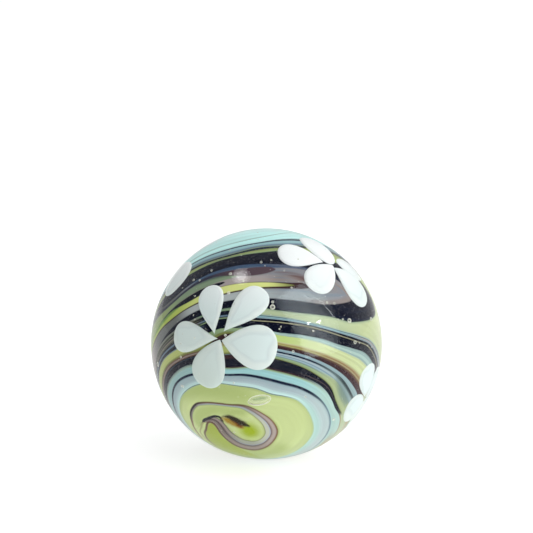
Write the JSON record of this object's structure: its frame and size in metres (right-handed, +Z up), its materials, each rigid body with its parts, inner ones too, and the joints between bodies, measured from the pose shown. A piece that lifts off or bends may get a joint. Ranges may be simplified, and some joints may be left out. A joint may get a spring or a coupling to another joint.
{
  "type": "glass marble",
  "caption": "Solid glass ball with stirred bands of coloured glass and white petalled flowers under a clear outer layer; rolls freely as a toy or collector's marble.",
  "frame": {"origin": "centre of the ball", "axes": "+Z up as the marble is shown, -Y towards the viewer, +X to the viewer's right; the outer shape is the same about every axis"},
  "size_m": [0.022, 0.022, 0.022],
  "materials": {
    "clear_glass": "fire polished, over an opaque core",
    "swirl_glass": "opaque stirred bands of lime, aqua, lavender and black glass",
    "petal_glass": "white opal glass"
  },
  "bodies": {
    "root": {"marble": "clear_glass"}
  },
  "joints": []
}
